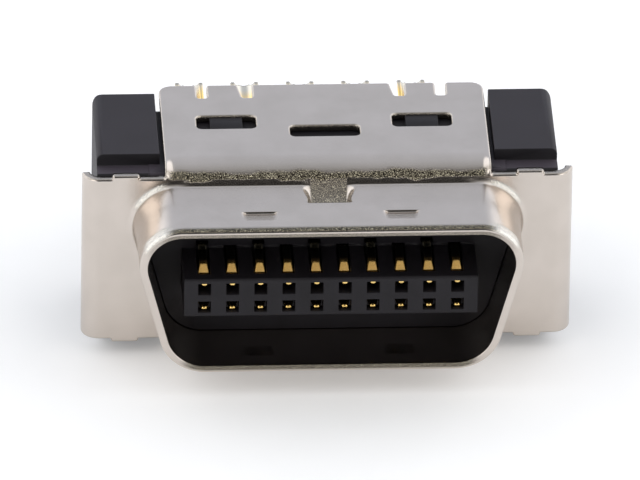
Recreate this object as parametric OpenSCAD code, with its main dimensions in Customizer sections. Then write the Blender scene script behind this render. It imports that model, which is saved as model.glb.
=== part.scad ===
// Mini delta ribbon cable plug, solder type: one drawn and folded metal shell, one moulded insulator
// with a tongue in front and a shelf behind, and two rows of ribbon contacts with solder cups.
// Millimetres. X runs along the rows, Y runs back toward the wires, Z is up.
// Y = 0 is the front face of the flange and Z = 0 is the middle of the tongue.

/* [Contacts] */
// Contacts in each row
columns = 10; // [6:2:14]
// Distance between neighbouring contacts of a row
pitch = 1.27; // [1.25:0.01:1.4]
// Width of the contact strip
strip_w = 0.5; // [0.4:0.01:0.56]
// Thickness of the contact strip
strip_t = 0.2; // [0.16:0.01:0.22]
// Radius of the strip's bends, at mid thickness
strip_bend_r = 0.16; // [0.13:0.01:0.18]
// How far a contact stands above the tongue
contact_proud = 0.075; // [0.03:0.005:0.12]
// Length of the contact's tip before it slopes up
tip_len = 0.8; // [0.5:0.05:1]
// Width of the contact's tapered tip
tip_w = 0.28; // [0.2:0.01:0.4]
// Length of the contact's front slope
slope_len = 0.36; // [0.3:0.01:0.6]
// How much higher the long contacts leave the tongue
tail_jog = 0.28; // [0.2:0.01:0.34]
// Distance from that step to the floor of the mouth
jog_lead = 0.1; // [0.05:0.01:0.2]

/* [Solder cups] */
// Radius of the cup's hollow
cup_r = 0.44; // [0.36:0.01:0.48]
// Depth of the cup's hollow
cup_depth = 0.46; // [0.4:0.01:0.6]
// Cup's bottom below the strip
cup_drop = 0.03; // [0.02:0.005:0.06]
// Length of a solder cup
cup_len = 2.6; // [2.2:0.1:3]
// Distance from the body to the short cups
short_cup_start = 0.7; // [0.4:0.1:1]
// Free space between short cups and long cups
cup_stagger = 1.1; // [0.6:0.1:1.4]
// Run of the slanted cut at the front of a cup
cup_slant = 0.45; // [0.3:0.05:0.7]
// Run of the slanted cut at the rear of a cup
cup_scoop = 0.45; // [0.2:0.05:0.7]
// Lap of the strip into its cup
cup_lap = 0.1; // [0.05:0.01:0.15]

/* [Tongue] */
// Thickness of the tongue
tongue_t = 1.97; // [1.9:0.01:2.2]
// Tongue beyond the last contact of a row
tongue_end = 0.925; // [0.6:0.005:1.1]
// Front of the tongue behind the shell's rim
tongue_recess = 0.36; // [0.1:0.02:0.6]
// Side of the square openings in the tongue's front
hole_size = 0.58; // [0.54:0.01:0.62]
// Plastic between an opening and the tongue's surface
lip_t = 0.235; // [0.2:0.005:0.27]
// Length of that lip along the tongue
lip_len = 0.52; // [0.4:0.01:0.6]
// Contact tip behind the tongue's front
tip_recess = 0.28; // [0.2:0.01:0.34]
// Depth of the grooves under the contacts
groove_depth = 0.56; // [0.5:0.01:0.62]
// Chamfer of the tongue's long front edges
tongue_chamfer = 0.08; // [0.04:0.01:0.12]

/* [Shell mouth] */
// Thickness of the sheet
sheet_t = 0.35; // [0.25:0.01:0.4]
// Space beside the tongue, to the widest point of the mouth
mouth_side = 1.69; // [1.4:0.01:2]
// Inside height of the mouth
mouth_h = 6.77; // [6.3:0.01:7.2]
// Inside radius of the two upper corners
mouth_top_r = 1.6; // [1.3:0.05:1.8]
// Inside radius of the two lower corners
mouth_bottom_r = 1.8; // [1.5:0.05:2]
// Rim of the mouth ahead of the flange
mouth_reach = 3.87; // [3.5:0.01:4.5]
// Rounding of the rim's outer edge
rim_r = 0.28; // [0.1:0.01:0.3]
// Inside radius of the bend from the mouth to the flange
root_r = 0.38; // [0.15:0.01:0.5]

/* [Flange and plates] */
// Flat riser between that bend and the plate's fold
riser = 0.05; // [0.03:0.01:0.4]
// Outside radius of the plate's fold
fold_r = 0.6; // [0.56:0.01:0.7]
// Plate beyond the last contact of a row
plate_margin = 1.67; // [1.5:0.01:1.9]
// Rear edge of the plates behind the flange
plate_rear = 7.34; // [7:0.02:8]
// Radius of the plates' rear corners
plate_corner_r = 0.6; // [0.3:0.05:0.9]
// Flange beyond the edge of the plate, to the outside of its curl
ear_reach = 3.72; // [3.4:0.02:4]
// Height of the flange's ears
ear_h = 8.4; // [8.1:0.02:8.6]
// Outside radius of the curled ends
curl_r = 0.8; // [0.7:0.01:0.9]
// Straight end of the curled ears
curl_tail = 0.15; // [0.05:0.05:0.4]
// Rounding of the curled ends' corners
curl_corner_r = 0.3; // [0.1:0.05:0.4]
// Width of the raised lands on the ears' long edges
land_w = 1.25; // [0.8:0.05:1.4]
// Height of those lands
land_h = 0.17; // [0.05:0.01:0.25]
// Distance from the plate's edge to the middle of a land
land_offset = 1.75; // [1.5:0.01:1.9]

/* [Slots and notches] */
// Distance from the middle to each latch slot
latch_x = 4.44; // [4.2:0.02:4.8]
// Distance from the flange to the latch slots' middle
latch_y = 4.05; // [3.8:0.05:4.6]
// Length of the latch slots
latch_len = 2.68; // [2.4:0.02:3]
// Distance from the flange to the middle slot's middle
window_y = 3.2; // [3:0.05:3.6]
// Length of the middle slot
window_len = 3.14; // [2.8:0.02:3.6]
// Width of the latch slots
slot_w = 1.12; // [0.9:0.02:1.2]
// Width of the middle slot
window_w = 0.94; // [0.8:0.02:1.2]
// Corner radius of the slots
slot_r = 0.25; // [0.15:0.01:0.35]
// Distance from the middle to the outer notches
notch_outer_x = 5.43; // [5.2:0.01:5.8]
// Width of the outer notches
notch_outer_w = 0.47; // [0.4:0.01:0.6]
// Distance from the middle to the inner notches
notch_inner_x = 3.46; // [3.2:0.02:3.8]
// Width of the inner notches
notch_inner_w = 0.68; // [0.5:0.02:0.9]
// Slant of the inner notches' left side
notch_slant = 0.19; // [0.05:0.01:0.3]
// Depth of the notches
notch_depth = 1.14; // [0.8:0.02:1.3]

/* [Pressed features] */
// Width of the pocket pressed in the mouth's top
pocket_w = 1.64; // [1.2:0.02:2]
// Front of the pocket ahead of the flange
pocket_reach = 1.4; // [1:0.05:1.6]
// Depth of the pocket
pocket_depth = 0.45; // [0.3:0.01:0.55]
// Thickness of the pocket's drawn walls
pocket_wall = 0.22; // [0.16:0.01:0.3]
// Distance from the middle to each dimple
dimple_x = 3.2; // [2.9:0.02:3.5]
// Middle of the dimples ahead of the flange
dimple_y = 2.56; // [2.4:0.02:2.8]
// Length of a dimple
dimple_len = 2; // [1.6:0.05:2.4]
// Width of a dimple
dimple_w = 0.8; // [0.6:0.02:0.9]
// Depth of a dimple
dimple_depth = 0.13; // [0.08:0.01:0.18]

/* [Insulator] */
// Floor of the mouth ahead of the flange
floor_reach = 0.7; // [0.5:0.05:0.9]
// Rear face of the body behind the flange
body_rear = 6; // [5.8:0.05:6.4]
// Pads under the plates: their ends inside the plate's edge
pad_inset = 0.25; // [0.15:0.05:0.4]
// Step from the pads down to the body beside them
pad_step = 0.18; // [0.1:0.01:0.3]
// Space between the plate's edge and the end blocks
block_gap = 0.2; // [0.1:0.02:0.26]
// Width of the end blocks
block_w = 2.84; // [2.7:0.02:2.9]
// Front of the end blocks' raised part behind the flange
block_step = 1.3; // [1.1:0.05:1.6]
// Rear face of the end blocks behind the flange
block_rear = 6.65; // [6.4:0.05:7]
// Rounding of the end blocks' long outer edges
block_edge_r = 0.3; // [0.1:0.05:0.5]
// Radius of the end blocks' rear outer edges
block_r = 0.5; // [0.2:0.05:0.8]
// Chamfer of the body's front edges
body_chamfer = 0.2; // [0.15:0.01:0.3]
// Width of the latch nubs
nub_w = 1.48; // [1.2:0.02:1.7]
// Top of the latch nubs below the plate's face
nub_sink = 0.1; // [0.05:0.01:0.15]
// Channel behind the short cups
channel_play = 0.24; // [0.1:0.02:0.4]
// Shelf behind the short cups' channels
shelf_heel = 2.0; // [1.6:0.05:2.3]
// Shelf beyond the last contact of a row
shelf_end = 1.1; // [1:0.02:1.3]
// Wall over and under the hollows in the body's back
hollow_wall = 0.95; // [0.8:0.05:1.2]
// Height of those hollows
hollow_h = 1.35; // [1:0.05:1.5]
// Depth of those hollows
hollow_depth = 3.4; // [2.5:0.1:3.8]
// Half width of the rib between two hollows
hollow_rib = 0.5; // [0.4:0.05:0.8]
// Clearance round each contact in its passage
contact_fit = 0.02; // [0.01:0.005:0.03]
// Clearance between shell and insulator
shell_fit = 0.02; // [0.01:0.005:0.04]

/* [Hidden] */
$fn = 48;
// Lean of the mouth's two short sides, the same for every plug that mates with this face
mouth_lean = 14.72;
row_span = (columns - 1) * pitch;
tongue_w = row_span + 2 * tongue_end;
mouth_w = tongue_w + 2 * mouth_side;
plate_w = row_span + 2 * plate_margin;
flange_half = plate_w / 2 + ear_reach;
ear_flat = ear_reach - curl_r;
plate_top = mouth_h / 2 + sheet_t + root_r + riser + fold_r;
mouth_top = mouth_h / 2 + sheet_t;
rim_y = -mouth_reach;
tongue_y = rim_y + tongue_recess;
floor_y = -floor_reach;
body_y = sheet_t + shell_fit;
block_in = plate_w / 2 + block_gap;
block_out = block_in + block_w;
pad_half = plate_w / 2 - pad_inset;
pad_top = plate_top - sheet_t - shell_fit;
trunk_top = pad_top - pad_step;
ledge_top = ear_h / 2 - shell_fit;
hole_top = tongue_t / 2 - lip_t;
tip_z = hole_top - contact_fit - strip_t / 2;
run_z = tongue_t / 2 + contact_proud - strip_t / 2;
tail_z = run_z + tail_jog;
cup_out = cup_r + strip_t;
short_start = body_rear + short_cup_start;
short_rear = short_start + cup_len;
long_start = short_rear + cup_stagger;
long_rear = long_start + cup_len;
shelf_top = tail_z - strip_t / 2 - cup_drop - contact_fit;
channel_floor = run_z - strip_t / 2 - cup_drop - contact_fit;
channel_half = cup_out + contact_fit;
channel_rear = short_rear + channel_play;
shelf_rear = channel_rear + shelf_heel;
hollow_top = pad_top - hollow_wall;
dimple_r = (dimple_w * dimple_w / 4 + dimple_depth * dimple_depth) / (2 * dimple_depth);
cut = 0.5;

// Corners of the mouth: the lower ones hang on the upper ones by the straight part of the side
corner_top_x = mouth_w / 2 - mouth_top_r;
corner_top_z = mouth_h / 2 - mouth_top_r;
corner_drop = mouth_h - mouth_top_r - mouth_bottom_r;
corner_shift = mouth_top_r - mouth_bottom_r;
side_len = round(1000 * (corner_drop - corner_shift * sin(mouth_lean)) / cos(mouth_lean)) / 1000;
corner_low_x = corner_top_x + corner_shift * cos(mouth_lean) - side_len * sin(mouth_lean);
big = 20;

// Place of a column, and which columns of the upper row are the long ones
function column_x(i) = (i - (columns + 1) / 2) * pitch;
function is_long(i) = i % 2 == 1;
function two_digits(i) = i < 10 ? str("0", i) : str(i);
function heading(p, i) = atan2(p[i + 1][1] - p[i][1], p[i + 1][0] - p[i][0]);
function bend_trim(p, i, r) = r * tan(abs(heading(p, i) - heading(p, i - 1)) / 2);

// A slab from y0 to y1 of an outline drawn in x and z
module along_y(y0, y1) {
    translate([0, y1, 0])
        rotate([90, 0, 0])
            linear_extrude(y1 - y0)
                children();
}

// A bar centred on x = 0 of an outline drawn in y and z
module along_x(w) {
    rotate([90, 0, 90])
        translate([0, 0, -w / 2])
            linear_extrude(w)
                children();
}

// Part of a ring between two angles, or of a disc where the inner radius is 0
module ring_part(r_in, r_out, a0, a1) {
    middle = (a0 + a1) / 2;
    intersection() {
        difference() {
            circle(r_out);
            if (r_in > 0)
                circle(r_in);
        }
        polygon(concat([[0, 0]], [for (a = [a0, middle, a1]) 2 * r_out * [cos(a), sin(a)]]));
    }
}

// A rectangle with four round corners, centred
module round_slot(w, h, r) {
    square([w - 2 * r, h], center = true);
    square([w, h - 2 * r], center = true);
    for (x = [-1, 1], y = [-1, 1])
        translate([x * (w / 2 - r), y * (h / 2 - r)])
            rotate(x > 0 ? (y > 0 ? 0 : 270) : (y > 0 ? 90 : 180))
                ring_part(0, r, 0, 90);
}

// The mouth's inside outline, grown by an amount
module mouth_outline(grow) {
    top_r = mouth_top_r + grow;
    low_r = mouth_bottom_r + grow;
    for (s = [0, 1])
        mirror([s, 0])
            translate([corner_top_x, corner_top_z]) {
                circle(top_r);
                translate([-corner_top_x - cut, -corner_drop])
                    square([corner_top_x + cut, corner_drop + top_r]);
                rotate(-mouth_lean) {
                    translate([-mouth_top_r, -side_len])
                        square([mouth_top_r + top_r, side_len]);
                    translate([corner_shift, -side_len]) {
                        circle(low_r);
                        rotate(mouth_lean)
                            translate([-corner_low_x - cut, -low_r])
                                square([corner_low_x + cut, low_r + corner_drop / 2]);
                    }
                }
            }
}

// Section of the drawn wall: first axis away from a corner's centre, second axis to the rear
module wall_section(inside_r) {
    translate([inside_r, 0]) {
        difference() {
            translate([0, rim_y])
                square([sheet_t, mouth_reach - root_r]);
            translate([sheet_t - rim_r, rim_y])
                difference() {
                    translate([0, -cut])
                        square([rim_r + cut, rim_r + cut]);
                    translate([0, rim_r])
                        circle(rim_r);
                }
        }
        translate([sheet_t + root_r, -root_r])
            ring_part(root_r, root_r + sheet_t, 90, 180);
        translate([sheet_t + root_r, 0])
            square([riser, sheet_t]);
    }
}

// The right half of the drawn wall, each piece set in the frame of the one before it
module half_wall() {
    translate([corner_top_x, 0, corner_top_z]) {
        rotate([0, -90, 0])
            linear_extrude(corner_top_x + cut)
                wall_section(mouth_top_r);
        intersection() {
            rotate([-90, 0, 0])
                rotate_extrude(angle = 170, start = -120)
                    wall_section(mouth_top_r);
            translate([0, -big, -big])
                cube([big, 2 * big, 2 * big]);
            rotate([0, mouth_lean, 0])
                translate([-big, -big, 0])
                    cube([2 * big, 2 * big, big]);
        }
        rotate([0, mouth_lean, 0]) {
            translate([0, 0, -side_len])
                linear_extrude(side_len)
                    wall_section(mouth_top_r);
            translate([corner_shift, 0, -side_len]) {
                intersection() {
                    rotate([-90, 0, 0])
                        rotate_extrude(angle = 170, start = -40)
                            wall_section(mouth_bottom_r);
                    translate([-big, -big, -big])
                        cube([2 * big, 2 * big, big]);
                    rotate([0, -mouth_lean, 0])
                        translate([0, -big, -big])
                            cube([big, 2 * big, 2 * big]);
                }
                rotate([0, -mouth_lean, 0])
                    rotate([0, 90, 0])
                        translate([0, 0, -corner_low_x - cut])
                            linear_extrude(corner_low_x + cut)
                                wall_section(mouth_bottom_r);
            }
        }
    }
}

// The flat flange: ears with raised lands, and the middle part between the two folds
module flange_plate() {
    along_y(0, sheet_t)
        difference() {
            union() {
                square([2 * (flange_half - curl_r), mouth_h], center = true);
                square([plate_w, 2 * (plate_top - fold_r)], center = true);
                for (s = [-1, 1]) {
                    translate([s * (plate_w / 2 + ear_flat / 2), 0])
                        square([ear_flat, ear_h], center = true);
                    translate([s * (plate_w / 2 + land_offset), 0])
                        square([land_w, ear_h + 2 * land_h], center = true);
                }
            }
            mouth_outline(sheet_t + root_r + riser / 2);
        }
}

// One ear's end, curled a quarter turn to the rear
module ear_curl() {
    difference() {
        translate([flange_half - curl_r, curl_r, -ear_h / 2])
            linear_extrude(ear_h) {
                ring_part(curl_r - sheet_t, curl_r, 270, 360);
                translate([curl_r - sheet_t, 0])
                    square([sheet_t, curl_tail]);
            }
        for (s = [0, 1])
            mirror([0, 0, s])
                translate([flange_half - curl_r / 2, 0, 0])
                    along_x(curl_r)
                        translate([curl_r + curl_tail, ear_h / 2])
                            corner_cut(curl_corner_r);
    }
}

// Openings and notches of a plate, drawn in x and y
module plate_cuts() {
    for (s = [-1, 1])
        translate([s * latch_x, latch_y])
            round_slot(latch_len, slot_w, slot_r);
    translate([0, window_y])
        round_slot(window_len, window_w, slot_r);
    for (s = [-1, 1]) {
        translate([s * notch_outer_x, plate_rear])
            square([notch_outer_w, 2 * notch_depth], center = true);
        translate([s * notch_inner_x, plate_rear])
            polygon([
                [notch_inner_w / 2, -notch_depth],
                [notch_inner_w / 2, cut],
                [-notch_inner_w / 2, cut],
                [-notch_inner_w / 2, 0],
                [notch_slant - notch_inner_w / 2, -notch_depth],
            ]);
        translate([s * (plate_w / 2 - plate_corner_r), plate_rear - plate_corner_r])
            difference() {
                translate([s > 0 ? 0 : -plate_corner_r - cut, 0])
                    square(plate_corner_r + cut);
                circle(plate_corner_r);
            }
    }
}

// The upper plate with the fold that joins it to the flange
module folded_plate() {
    difference() {
        union() {
            along_x(plate_w)
                translate([fold_r, plate_top - fold_r])
                    ring_part(fold_r - sheet_t, fold_r, 90, 180);
            translate([-plate_w / 2, fold_r, plate_top - sheet_t])
                cube([plate_w, plate_rear - fold_r, sheet_t]);
        }
        translate([0, 0, plate_top - sheet_t - cut])
            linear_extrude(sheet_t + 2 * cut)
                plate_cuts();
    }
}

// A rounded bar whose lower face makes a dimple in a level face at z = 0
module dimple_bar() {
    half = dimple_len / 2 - dimple_w / 2;
    translate([0, 0, dimple_r - dimple_depth]) {
        rotate([0, 90, 0])
            cylinder(r = dimple_r, h = 2 * half, center = true);
        for (s = [-1, 1])
            translate([s * half, 0, 0])
                sphere(dimple_r);
    }
}

// What the two dimples of one side add under the sheet
module dimple_bumps() {
    for (s = [-1, 1])
        translate([s * dimple_x, -dimple_y, mouth_h / 2])
            intersection() {
                dimple_bar();
                translate([-dimple_len, -dimple_w, -2 * dimple_depth])
                    cube([2 * dimple_len, 2 * dimple_w, 2 * dimple_depth + sheet_t / 2]);
            }
}

// What the two dimples of one side take from the sheet's face
module dimple_hollows() {
    for (s = [-1, 1])
        translate([s * dimple_x, -dimple_y, mouth_top])
            dimple_bar();
}

// The drawn tray of the pocket, standing under the mouth's top
module pocket_tray() {
    front = -pocket_reach - pocket_wall;
    low = mouth_top - pocket_depth - pocket_wall;
    translate([-pocket_w / 2 - pocket_wall, front, low])
        cube([pocket_w + 2 * pocket_wall, sheet_t - front, mouth_top - low]);
}

// The pocket's hollow, open upward as far as the riser's face
module pocket_hollow() {
    translate([-pocket_w / 2, -pocket_reach, mouth_top - pocket_depth])
        cube([pocket_w, pocket_reach, pocket_depth + root_r]);
}

module shell() {
    color([0.72, 0.7, 0.66])
        difference() {
            union() {
                flange_plate();
                pocket_tray();
                for (s = [0, 1]) {
                    mirror([s, 0, 0])
                        half_wall();
                    mirror([s, 0, 0])
                        ear_curl();
                    mirror([0, 0, s])
                        folded_plate();
                    mirror([0, 0, s])
                        dimple_bumps();
                }
            }
            pocket_hollow();
            for (s = [0, 1])
                mirror([0, 0, s])
                    dimple_hollows();
        }
}

// Centre line of a contact in y and z, from its tip to the end of its tail
function contact_line(long) = concat(
    [
        [tongue_y + tip_recess, tip_z],
        [tongue_y + tip_recess + tip_len, tip_z],
        [tongue_y + tip_recess + tip_len + slope_len, run_z],
    ],
    long
        ? [
            [floor_y - jog_lead - tail_jog, run_z],
            [floor_y - jog_lead, tail_z],
            [long_start + cup_lap, tail_z],
        ]
        : [[short_start + cup_lap, run_z]]
);

// A strip of even thickness along a line, from run i on, each run set in the frame of the one before it
module strip_run(line, i) {
    last = len(line) - 2;
    before = i == 0 ? 0 : bend_trim(line, i, strip_bend_r);
    after = i == last ? 0 : bend_trim(line, i + 1, strip_bend_r);
    run = norm(line[i + 1] - line[i]) - before - after;
    translate([0, -strip_t / 2])
        square([run, strip_t]);
    if (i < last) {
        turn = heading(line, i + 1) - heading(line, i);
        side = turn > 0 ? strip_bend_r : -strip_bend_r;
        translate([run, side]) {
            intersection() {
                difference() {
                    circle(strip_bend_r + strip_t / 2);
                    circle(strip_bend_r - strip_t / 2);
                }
                translate([0, -big])
                    square([big, 2 * big]);
                rotate(turn)
                    translate([-big, -big])
                        square([big, 2 * big]);
            }
            rotate(turn)
                translate([0, -side])
                    strip_run(line, i + 1);
        }
    }
}

// A trough for the wire, its walls cut at a slant in front and behind
module solder_cup(start, level) {
    floor_z = level + strip_t / 2 - cup_drop;
    centre = floor_z + cup_r;
    top = floor_z + cup_depth;
    rear = start + cup_len;
    difference() {
        along_y(start, rear) {
            translate([0, centre])
                ring_part(cup_r, cup_out, 180, 360);
            for (s = [-1, 1])
                translate([s * (cup_r + strip_t / 2), (centre + top) / 2])
                    square([strip_t, top - centre], center = true);
        }
        along_x(2 * cup_out + cut)
            polygon([
                [start - cut, level],
                [start, level],
                [start + cup_slant, top],
                [start + cup_slant, top + cut],
                [start - cut, top + cut],
            ]);
        along_x(2 * cup_out + cut)
            polygon([
                [rear - cup_scoop, top],
                [rear, floor_z],
                [rear + cut, floor_z],
                [rear + cut, top + cut],
                [rear - cup_scoop, top + cut],
            ]);
    }
}

// What tapers a contact's tip, seen from above
module tip_taper() {
    front = tongue_y + tip_recess;
    for (s = [0, 1])
        mirror([s, 0, 0])
            translate([0, 0, tip_z - cut])
                linear_extrude(2 * cut)
                    polygon([
                        [tip_w / 2, front - cut],
                        [tip_w / 2, front],
                        [strip_w / 2, front + tip_len],
                        [strip_w / 2 + cut, front + tip_len],
                        [strip_w / 2 + cut, front - cut],
                    ]);
}

// One contact of the upper row, at x = 0
module contact(long) {
    line = contact_line(long);
    difference() {
        along_x(strip_w)
            translate(line[0])
                rotate(heading(line, 0))
                    strip_run(line, 0);
        tip_taper();
    }
    solder_cup(long ? long_start : short_start, long ? tail_z : run_z);
}

module contact_upper(i) {
    color([0.83, 0.62, 0.22])
        translate([column_x(i), 0, 0])
            contact(is_long(i));
}

// The lower row is the upper row turned half round
module contact_lower(i) {
    color([0.83, 0.62, 0.22])
        rotate([0, 180, 0])
            translate([-column_x(i), 0, 0])
                contact(is_long(columns + 1 - i));
}

// Room for one contact of the upper row: opening, groove, passage and channel
module contact_room(long) {
    strip_half = strip_w / 2 + contact_fit;
    level = long ? tail_z : run_z;
    groove_low = tongue_t / 2 - groove_depth;
    translate([-hole_size / 2, tongue_y - cut, hole_top - hole_size])
        cube([hole_size, cut + lip_len + tip_len, hole_size]);
    translate([-hole_size / 2, tongue_y + lip_len, groove_low])
        cube([hole_size, floor_y - tongue_y - lip_len, groove_depth + cut]);
    translate([-strip_half, floor_y - cut, level - strip_t / 2 - contact_fit])
        cube([2 * strip_half, body_rear - floor_y + 2 * cut, strip_t + 2 * contact_fit]);
    if (!long)
        translate([-channel_half, body_rear, channel_floor])
            cube([2 * channel_half, channel_rear - body_rear, shelf_top - channel_floor + cut]);
}

// What rounds a corner between the directions +x and +y, the corner's point at the origin
module corner_cut(r) {
    translate([-r, -r])
        difference() {
            square(r + cut);
            circle(r);
        }
}

// One end block: the raised part that stands beside the plates, its outer edges rounded
module end_block() {
    difference() {
        translate([block_in, block_step, -plate_top])
            cube([block_w, block_rear - block_step, 2 * plate_top]);
        translate([block_out, block_rear, -plate_top - cut])
            linear_extrude(2 * (plate_top + cut))
                corner_cut(block_r);
        for (s = [0, 1])
            mirror([0, 0, s])
                along_y(block_step - cut, block_rear + cut)
                    translate([block_out, plate_top])
                        corner_cut(block_edge_r);
    }
}

// Side view of the body up to a height and back to a rear face, its front edges chamfered
module body_side(top, rear) {
    polygon([
        [body_y, -top + body_chamfer],
        [body_y, top - body_chamfer],
        [body_y + body_chamfer, top],
        [rear, top],
        [rear, -top],
        [body_y + body_chamfer, -top],
    ]);
}

// The body: a trunk between the plates, and behind each ear a ledge of the ear's height
module body_block() {
    difference() {
        union() {
            along_x(2 * (block_in + cut))
                body_side(trunk_top, body_rear);
            for (s = [-1, 1])
                translate([s * (block_in + block_w / 2), 0, 0])
                    along_x(block_w)
                        body_side(ledge_top, (block_step + block_rear) / 2);
        }
        for (s = [0, 1])
            mirror([s, 0, 0])
                translate([0, 0, -plate_top])
                    linear_extrude(2 * plate_top)
                        polygon([
                            [block_out - body_chamfer, body_y],
                            [block_out - body_chamfer, body_y - cut],
                            [block_out + cut, body_y - cut],
                            [block_out + cut, body_y + body_chamfer],
                            [block_out, body_y + body_chamfer],
                        ]);
    }
}

// Two latch nubs for the slots of one plate, with a lead-in slope in front
module latch_nubs() {
    half = slot_w / 2 - shell_fit;
    for (s = [-1, 1])
        translate([s * latch_x, latch_y, 0])
            along_x(nub_w)
                polygon([
                    [-half, pad_top - cut],
                    [-half, pad_top + (sheet_t - nub_sink) / 2],
                    [0, plate_top - nub_sink],
                    [half, plate_top - nub_sink],
                    [half, pad_top - cut],
                ]);
}

// Hollows in the body's back, on each side of a rib
module back_hollows() {
    for (s = [0, 1])
        mirror([s, 0, 0])
            translate([hollow_rib, body_rear - hollow_depth, hollow_top - hollow_h])
                cube([row_span / 2 + pitch / 2 - hollow_rib, hollow_depth + cut, hollow_h]);
}

// The tongue, its long front edges chamfered
module tongue() {
    half = tongue_t / 2;
    along_x(tongue_w)
        polygon([
            [tongue_y, tongue_chamfer - half],
            [tongue_y, half - tongue_chamfer],
            [tongue_y + tongue_chamfer, half],
            [floor_y + cut, half],
            [floor_y + cut, -half],
            [tongue_y + tongue_chamfer, -half],
        ]);
}

module insulator() {
    color([0.09, 0.09, 0.1])
        difference() {
            union() {
                tongue();
                along_y(floor_y, body_y + cut)
                    mouth_outline(-shell_fit);
                body_block();
                translate([-pad_half, fold_r, -pad_top])
                    cube([2 * pad_half, body_rear - fold_r, 2 * pad_top]);
                translate([-row_span / 2 - shelf_end, body_rear - cut, -shelf_top])
                    cube([row_span + 2 * shelf_end, shelf_rear - body_rear + cut, 2 * shelf_top]);
                for (s = [0, 1]) {
                    mirror([s, 0, 0])
                        end_block();
                    mirror([0, 0, s])
                        latch_nubs();
                }
            }
            for (i = [1:columns], turn = [0, 180])
                rotate([0, turn, 0])
                    translate([column_x(i), 0, 0])
                        contact_room(is_long(i));
            for (s = [0, 1])
                mirror([0, 0, s])
                    back_hollows();
            translate([-pocket_w / 2 - pocket_wall - shell_fit, floor_y - cut, mouth_top - pocket_depth - pocket_wall - shell_fit])
                cube([pocket_w + 2 * (pocket_wall + shell_fit), floor_reach + cut + sheet_t + shell_fit, mouth_h]);
        }
}

shell();
insulator();
for (i = [1:columns]) {
    contact_upper(i);
    contact_lower(i);
}
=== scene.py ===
import math
from collections import namedtuple

import bmesh
import bpy
import numpy as np
from mathutils import Matrix, Vector
from mathutils.geometry import delaunay_2d_cdt


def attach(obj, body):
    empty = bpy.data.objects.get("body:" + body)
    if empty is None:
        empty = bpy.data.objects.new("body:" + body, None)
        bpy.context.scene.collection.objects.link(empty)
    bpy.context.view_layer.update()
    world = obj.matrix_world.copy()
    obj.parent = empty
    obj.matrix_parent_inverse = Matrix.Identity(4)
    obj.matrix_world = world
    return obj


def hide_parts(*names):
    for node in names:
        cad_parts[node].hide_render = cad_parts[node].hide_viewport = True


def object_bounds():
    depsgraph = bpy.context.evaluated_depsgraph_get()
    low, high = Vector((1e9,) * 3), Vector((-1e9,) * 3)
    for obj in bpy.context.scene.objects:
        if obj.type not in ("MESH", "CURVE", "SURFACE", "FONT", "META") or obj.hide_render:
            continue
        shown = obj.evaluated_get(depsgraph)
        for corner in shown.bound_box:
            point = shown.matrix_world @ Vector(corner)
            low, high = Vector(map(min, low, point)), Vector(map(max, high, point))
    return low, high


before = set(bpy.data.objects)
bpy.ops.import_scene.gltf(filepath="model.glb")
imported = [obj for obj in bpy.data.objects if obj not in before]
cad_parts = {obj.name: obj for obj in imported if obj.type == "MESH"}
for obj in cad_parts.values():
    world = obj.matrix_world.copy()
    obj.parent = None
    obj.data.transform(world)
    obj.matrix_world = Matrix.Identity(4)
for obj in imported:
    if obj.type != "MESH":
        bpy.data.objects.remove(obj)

cad_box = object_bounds()
MM = 0.001
QUARTER = math.pi / 2

# Sizes in millimetres, as in the part's source; y runs back from the flange's front face
SHEET = 0.35
MOUTH_W, MOUTH_H = 16.66, 6.77
TOP_R, LOW_R, LEAN = 1.6, 1.8, math.radians(14.72)
TOP_END = MOUTH_W / 2 - TOP_R
RIM_Y = -3.87
ROOT_R, FOLD_R = 0.38, 0.6
PLATE_HALF, PLATE_TOP, PLATE_REAR, PLATE_R, PLATE_FOOT_R = 7.385, 4.765, 7.34, 0.6, 0.08
EAR_H, FLANGE_HALF, CURL_R, CURL_TAIL, CURL_CORNER = 8.4, 11.105, 0.8, 0.15, 0.3
LAND_X, LAND_W, LAND_H, LAND_R, LAND_FOOT_R = 9.135, 1.25, 0.17, 0.12, 0.045
LATCH_X, LATCH_Y, LATCH_LEN, LATCH_W = 4.44, 4.05, 2.68, 1.12
WINDOW_Y, WINDOW_LEN, WINDOW_W, SLOT_R = 3.2, 3.14, 0.94, 0.25
OUTER_NOTCH_X, OUTER_NOTCH_W = 5.43, 0.47
INNER_NOTCH_X, INNER_NOTCH_W, NOTCH_SLANT = 3.46, 0.68, 0.19
NOTCH_DEPTH, NOTCH_R, NOTCH_MOUTH_R = 1.14, 0.13, 0.16
BLOCK_FRONT, LEDGE_Z = 1.3, EAR_H / 2 - 0.02
COLUMNS, PITCH = 10, 1.27

# Where the fold and the ears' curls start on the flat blank
FOLD_Z, CURL_X = PLATE_TOP - FOLD_R, FLANGE_HALF - CURL_R
# A depth y of a plate lies at y + BLANK_SHIFT on the flat blank
BLANK_SHIFT = FOLD_Z + FOLD_R * QUARTER - FOLD_R

# The root's outside starts as a gentle rise of the wall before it turns into the flange
TOE, TOE_END, TOE_RISE, TOE_POWER, TOE_ANGLE = 1.5, 0.214, 0.116, 2.3, math.radians(12)
# Over the mouth the sheet sweeps from the plate down to that rise in one wide curve
ROOT_Z = MOUTH_H / 2 + SHEET + ROOT_R
SWEEP_R, SWEEP_Y, SWEEP_HALF, SWEEP_LOW = 1.33, 1.13, 7.36, math.radians(72)
SWEEP_ROOT = math.acos((ROOT_Z - PLATE_TOP + SWEEP_R) / SWEEP_R)
SWEEP_STOP = SWEEP_Y + BLANK_SHIFT
# Width over which the curve fades out at its ends, on the flange and on the root
SWEEP_FADE, ROOT_FADE = 0.36, 0.5

# The rim's lip, from the inside of the wall to its front: out of the inside outline, behind the front
RIM_LIP = ((0, 0.12), (-0.012, 0.07), (-0.02, 0.04), (-0.02, 0.02), (-0.012, 0.006), (0, 0.001),
           (0.06, 0), (0.15, 0), (0.17, 0))
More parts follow.
